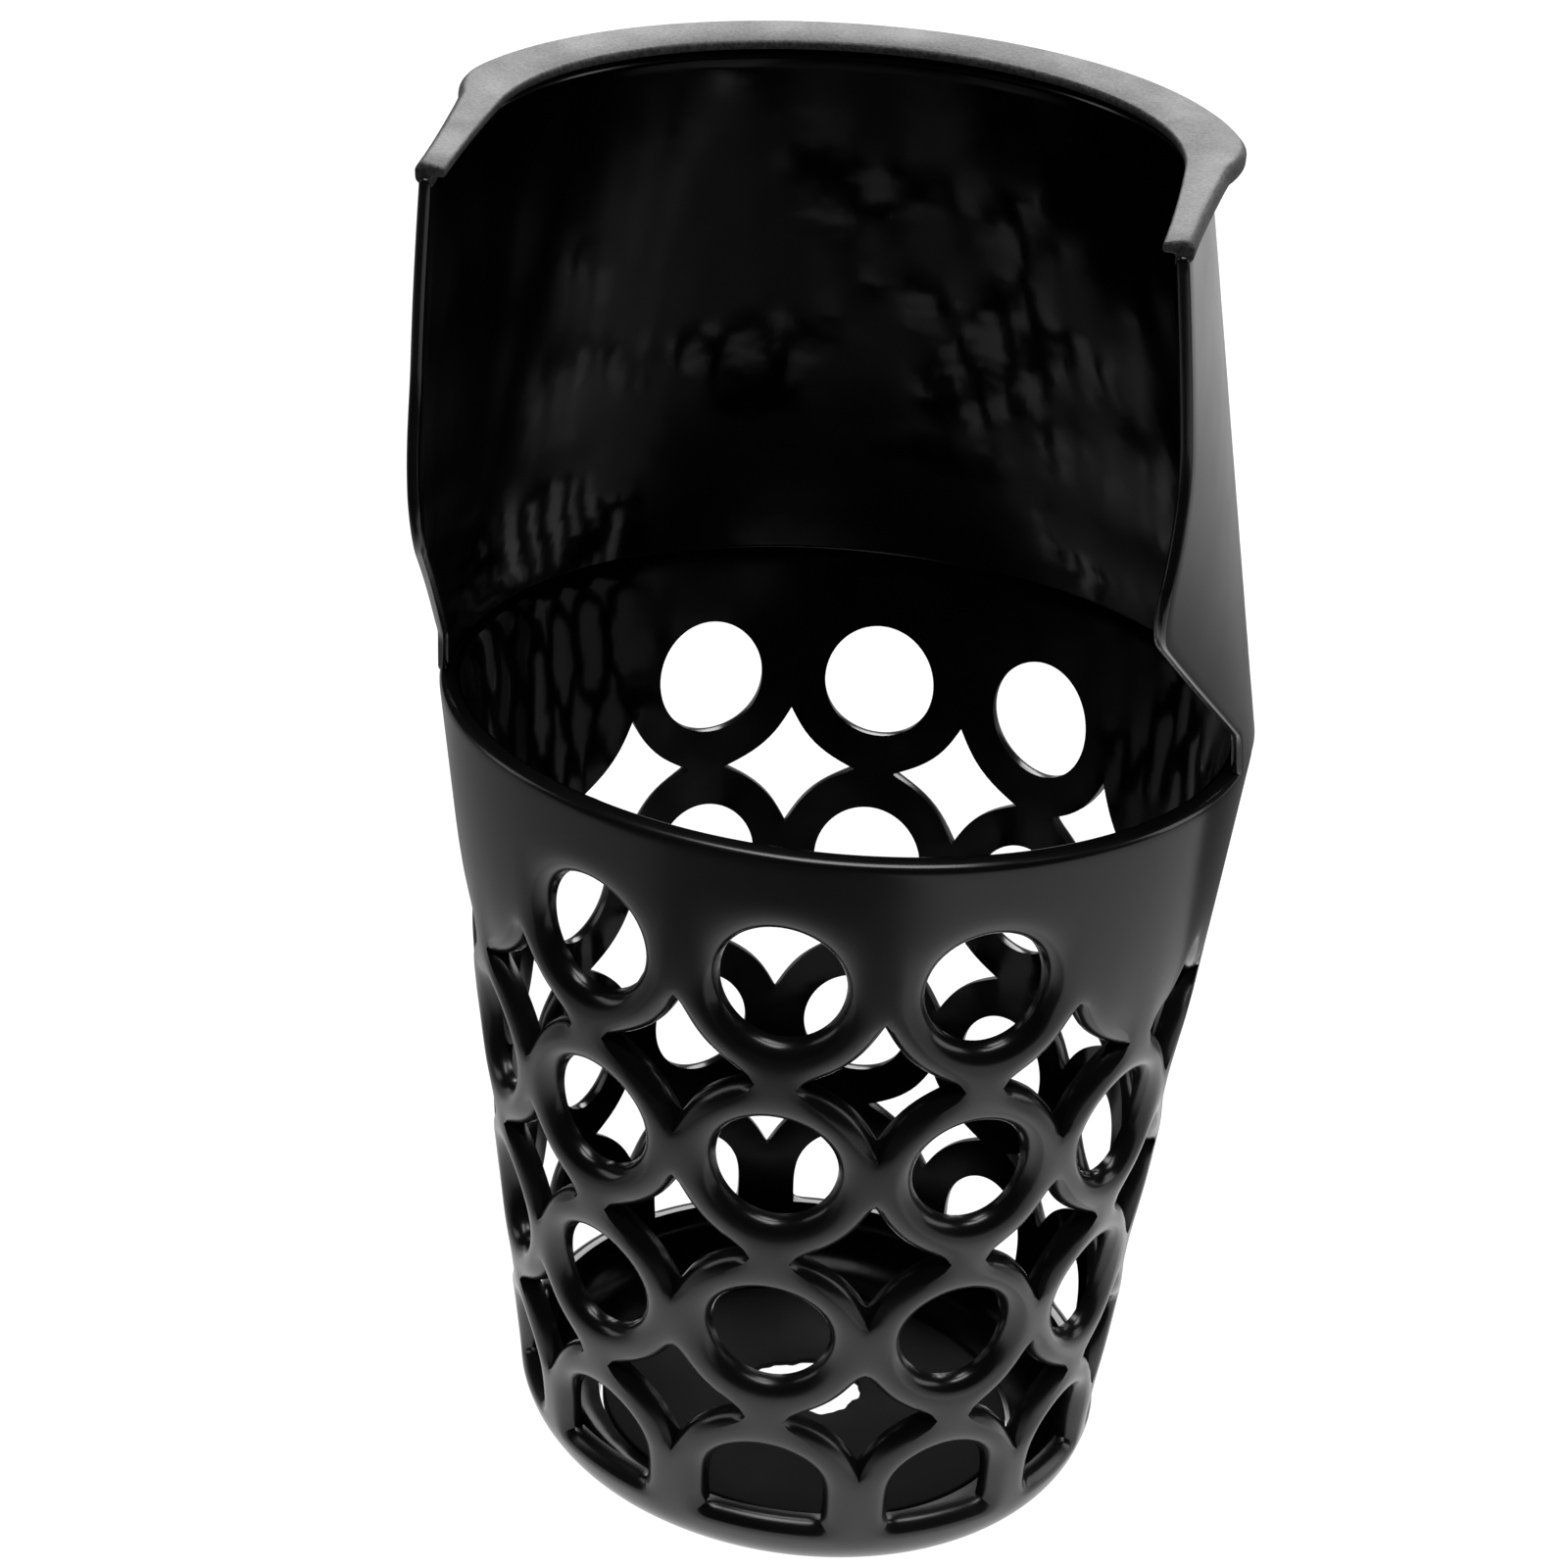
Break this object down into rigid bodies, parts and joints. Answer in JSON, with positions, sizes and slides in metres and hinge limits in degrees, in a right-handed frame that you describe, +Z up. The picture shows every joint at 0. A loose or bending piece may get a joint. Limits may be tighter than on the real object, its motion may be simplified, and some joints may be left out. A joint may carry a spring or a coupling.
{
  "type": "hanging cup holder",
  "caption": "Black moulded cup holder: an oval tub pierced by a ring lattice, with a solid hooded back that leans forward to a C-shaped hanging lip",
  "frame": {"origin": "On the surface that the tub stands on, below the middle of the bounding box", "axes": "+Z up, +X to the right when facing the open front, -Y towards the open front, +Y towards the hooded back"},
  "size_m": [0.1024, 0.0883, 0.208],
  "materials": {
    "gloss_black": "gloss, moulded",
    "grained_grey": "fine grained, moulded"
  },
  "bodies": {
    "root": {"basket": "gloss_black", "floor_plate": "gloss_black", "back_shield": "gloss_black", "hanging_lip": "grained_grey"}
  },
  "joints": []
}
